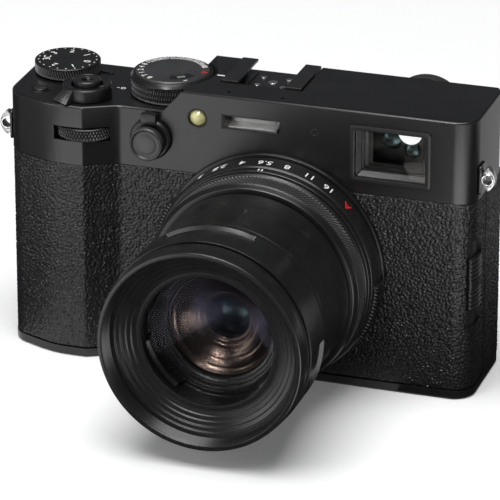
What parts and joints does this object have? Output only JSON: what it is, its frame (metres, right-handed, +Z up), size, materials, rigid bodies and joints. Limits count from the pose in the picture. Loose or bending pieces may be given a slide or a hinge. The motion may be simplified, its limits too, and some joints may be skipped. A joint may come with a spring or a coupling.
{
  "type": "rangefinder camera",
  "caption": "Compact fixed-lens rangefinder-style camera with a two-level top plate, control dials, hot shoe, tilting rear screen and a screw-on front converter lens.",
  "frame": {"origin": "mouth of the tripod socket, in the base plane below the lens axis", "axes": "+Z up, the lens looks along -Y, +X towards the finder end"},
  "size_m": [0.1312, 0.0922, 0.0755],
  "materials": {
    "black_cover": "satin black paint",
    "casting": "as cast",
    "leatherette": "pebbled black",
    "rear_shell": "matt black",
    "black_anodised": "satin black anodised",
    "knob": "black anodised, knurled",
    "barrel": "satin black anodised",
    "clear_glass": "coated",
    "screen_glass": "gloss black",
    "black_plastic": "satin",
    "rubber": "matt",
    "steel": "bright",
    "silver": "bright",
    "spring_steel": "bright",
    "board": "solder mask",
    "cell": "gloss",
    "lamp": "gloss",
    "frosted": "frosted"
  },
  "bodies": {
    "camera": {"af_lamp": "lamp", "battery": "cell", "battery_chamber": "black_plastic", "body_screws": "steel", "bottom_cover": "black_cover", "chassis": "casting", "connector_sockets": "spring_steel", "eyepiece": "rubber", "eyepiece_lens": "clear_glass", "finder_bezel": "black_plastic", "finder_prism": "clear_glass", "finder_side_leather": "leatherette", "finder_window": "clear_glass", "flash_reflector": "silver", "flash_tube": "clear_glass", "flash_window": "frosted", "front_element": "clear_glass", "grip_leather": "leatherette", "hot_shoe": "black_anodised", "image_sensor": "board", "iris_blades": "spring_steel", "lens_barrel": "barrel", "lens_base_ring": "barrel", "main_board": "board", "rear_cover": "rear_shell", "shoe_contacts": "steel", "shutter_spring": "spring_steel", "strap_lugs": "steel", "top_cover": "black_cover", "tripod_socket": "steel"},
    "exposure_dial": {"exposure_dial": "knob"},
    "shutter_dial": {"shutter_dial": "knob"},
    "iso_ring": {"iso_ring": "knob"},
    "shutter_button": {"shutter_button": "knob"},
    "power_lever": {"power_lever": "knob"},
    "fn_button": {"fn_button": "knob"},
    "front_dial": {"front_dial": "knob"},
    "rear_dial": {"rear_dial": "knob"},
    "finder_lever": {"finder_lever": "black_anodised"},
    "finder_lever_button": {"finder_lever_button": "black_anodised"},
    "aperture_ring": {"aperture_ring": "barrel"},
    "focus_ring": {"focus_ring": "barrel"},
    "converter": {"converter_barrel": "barrel", "converter_front_ring": "barrel", "converter_front_glass": "clear_glass", "converter_rear_glass": "clear_glass"},
    "screen_arm": {"screen_arm": "black_anodised"},
    "screen": {"screen_housing": "black_plastic", "screen_glass": "screen_glass"},
    "joystick_gimbal": {"joystick_gimbal": "spring_steel"},
    "joystick": {"joystick": "rubber"},
    "menu_button": {"menu_button": "black_plastic"},
    "display_button": {"display_button": "black_plastic"},
    "playback_button": {"playback_button": "black_plastic"},
    "drive_button": {"drive_button": "black_plastic"},
    "battery_door": {"battery_door": "black_plastic"},
    "battery_latch": {"battery_latch": "black_plastic"},
    "connector_door": {"connector_door": "rubber"},
    "focus_switch": {"focus_switch": "black_plastic"},
    "diopter_dial": {"diopter_dial": "black_plastic"}
  },
  "joints": [
    {"name": "exposure_dial_turn", "type": "hinge", "parent": "camera", "child": "exposure_dial", "pos_m": [-0.0615, 0.005, 0.071], "axis": [0, 0, 1], "range_deg": [-135, 150]},
    {"name": "shutter_dial_turn", "type": "hinge", "parent": "camera", "child": "shutter_dial", "pos_m": [-0.031, -0.0006, 0.072], "axis": [0, 0, 1], "continuous": true},
    {"name": "iso_ring_lift", "type": "slide", "parent": "shutter_dial", "child": "iso_ring", "axis": [0, 0, 1], "range_m": [0, 0.0015], "stiffness_N_per_m": 300},
    {"name": "power_lever_turn", "type": "hinge", "parent": "camera", "child": "power_lever", "pos_m": [-0.0507, -0.0101, 0.071], "axis": [0, 0, 1], "range_deg": [0, 35]},
    {"name": "shutter_button_press", "type": "slide", "parent": "camera", "child": "shutter_button", "axis": [0, 0, -1], "range_m": [0, 0.001], "stiffness_N_per_m": 400, "deforming": ["shutter_spring"]},
    {"name": "fn_button_press", "type": "slide", "parent": "camera", "child": "fn_button", "axis": [0, 0, -1], "range_m": [0, 0.0005], "stiffness_N_per_m": 400},
    {"name": "front_dial_turn", "type": "hinge", "parent": "camera", "child": "front_dial", "pos_m": [-0.0506, -0.0113, 0.0615], "axis": [0, 0, 1], "continuous": true},
    {"name": "rear_dial_turn", "type": "hinge", "parent": "camera", "child": "rear_dial", "pos_m": [-0.052, 0.0069, 0.0615], "axis": [0, 0, 1], "continuous": true},
    {"name": "finder_lever_turn", "type": "hinge", "parent": "camera", "child": "finder_lever", "pos_m": [-0.0322, -0.015, 0.0614], "axis": [0, -1, 0], "range_deg": [-20, 20], "stiffness_Nm_per_rad": 0.02},
    {"name": "finder_lever_button_press", "type": "slide", "parent": "finder_lever", "child": "finder_lever_button", "axis": [0, 1, 0], "range_m": [0, 0.0006], "stiffness_N_per_m": 400},
    {"name": "aperture_ring_turn", "type": "hinge", "parent": "camera", "child": "aperture_ring", "pos_m": [0, -0.0185, 0.0315], "axis": [0, -1, 0], "range_deg": [-36, 47.5]},
    {"name": "focus_ring_turn", "type": "hinge", "parent": "camera", "child": "focus_ring", "pos_m": [0, -0.0275, 0.0315], "axis": [0, -1, 0], "continuous": true},
    {"name": "converter_unscrew", "type": "slide", "parent": "camera", "child": "converter", "axis": [0, -1, 0], "range_m": [0, 0.02]},
    {"name": "screen_arm_tilt", "type": "hinge", "parent": "camera", "child": "screen_arm", "pos_m": [0.012, 0.0149, 0.0089], "axis": [1, 0, 0], "range_deg": [-45, 0]},
    {"name": "screen_tilt", "type": "hinge", "parent": "screen_arm", "child": "screen", "pos_m": [0.012, 0.0171, 0.0492], "axis": [1, 0, 0], "range_deg": [0, 90]},
    {"name": "joystick_tilt_up", "type": "hinge", "parent": "camera", "child": "joystick_gimbal", "pos_m": [-0.039, 0.013, 0.0435], "axis": [1, 0, 0], "range_deg": [-8, 8], "stiffness_Nm_per_rad": 0.01},
    {"name": "joystick_tilt_side", "type": "hinge", "parent": "joystick_gimbal", "child": "joystick", "pos_m": [-0.039, 0.013, 0.0435], "axis": [0, 0, 1], "range_deg": [-8, 8], "stiffness_Nm_per_rad": 0.01},
    {"name": "menu_button_press", "type": "slide", "parent": "camera", "child": "menu_button", "axis": [0, -1, 0], "range_m": [0, 0.0006], "stiffness_N_per_m": 400},
    {"name": "display_button_press", "type": "slide", "parent": "camera", "child": "display_button", "axis": [0, -1, 0], "range_m": [0, 0.0006], "stiffness_N_per_m": 400},
    {"name": "playback_button_press", "type": "slide", "parent": "camera", "child": "playback_button", "axis": [0, -1, 0], "range_m": [0, 0.0006], "stiffness_N_per_m": 400},
    {"name": "drive_button_press", "type": "slide", "parent": "camera", "child": "drive_button", "axis": [0, -1, 0], "range_m": [0, 0.0006], "stiffness_N_per_m": 400},
    {"name": "battery_door_open", "type": "hinge", "parent": "camera", "child": "battery_door", "pos_m": [-0.0642, -0.0005, 0.00115], "axis": [0, 1, 0], "range_deg": [0, 90]},
    {"name": "battery_latch_slide", "type": "slide", "parent": "battery_door", "child": "battery_latch", "axis": [-1, 0, 0], "range_m": [0, 0.002]},
    {"name": "connector_door_open", "type": "hinge", "parent": "camera", "child": "connector_door", "pos_m": [-0.0708, 0.01, 0.027], "axis": [0, 0, -1], "range_deg": [0, 100]},
    {"name": "focus_switch_slide", "type": "slide", "parent": "camera", "child": "focus_switch", "axis": [0, 0, 1], "range_m": [-0.004, 0.004]},
    {"name": "diopter_dial_turn", "type": "hinge", "parent": "camera", "child": "diopter_dial", "pos_m": [0.0456, 0.017, 0.0643], "axis": [0, 1, 0], "range_deg": [-140, 140]}
  ]
}
